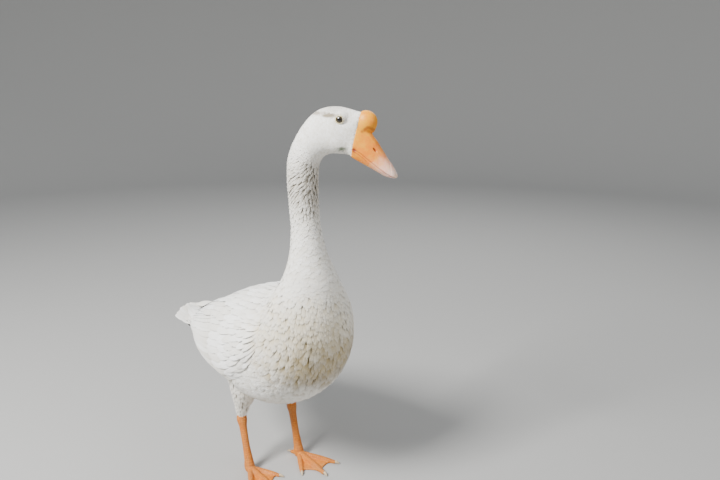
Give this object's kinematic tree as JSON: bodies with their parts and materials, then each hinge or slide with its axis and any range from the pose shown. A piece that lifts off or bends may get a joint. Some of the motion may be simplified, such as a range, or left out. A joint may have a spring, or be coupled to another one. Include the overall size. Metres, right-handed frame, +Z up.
{
  "type": "domestic goose",
  "caption": "White knobbed domestic goose standing alert on two webbed feet, neck upright and head turned to its left.",
  "frame": {"origin": "on the floor, under the middle of the bird's bounding box", "axes": "+Z up, +X the way the body faces, +Y the bird's left side"},
  "size_m": [0.572, 0.2098, 0.6783],
  "materials": {
    "plumage": "soft matte contour feathers",
    "horn": "satin, waxy",
    "leg_skin": "scaled, satin",
    "claw": "satin",
    "eye": "wet, glossy"
  },
  "bodies": {
    "root": {"tail": "plumage", "trunk": "plumage", "neck_lower": "plumage", "neck_upper": "plumage", "head": "plumage", "bill_upper": "horn", "bill_lower": "horn", "knob": "horn", "eye_left": "eye", "eye_right": "eye", "wing_left_coverts": "plumage", "wing_left_secondaries": "plumage", "wing_left_primaries": "plumage", "wing_right_coverts": "plumage", "wing_right_secondaries": "plumage", "wing_right_primaries": "plumage", "thigh_left": "plumage", "thigh_right": "plumage", "shank_left": "leg_skin", "shank_right": "leg_skin", "foot_left": "leg_skin", "foot_right": "leg_skin", "claw_left_inner": "claw", "claw_left_middle": "claw", "claw_left_outer": "claw", "claw_left_hind": "claw", "claw_right_inner": "claw", "claw_right_middle": "claw", "claw_right_outer": "claw", "claw_right_hind": "claw"}
  },
  "joints": []
}
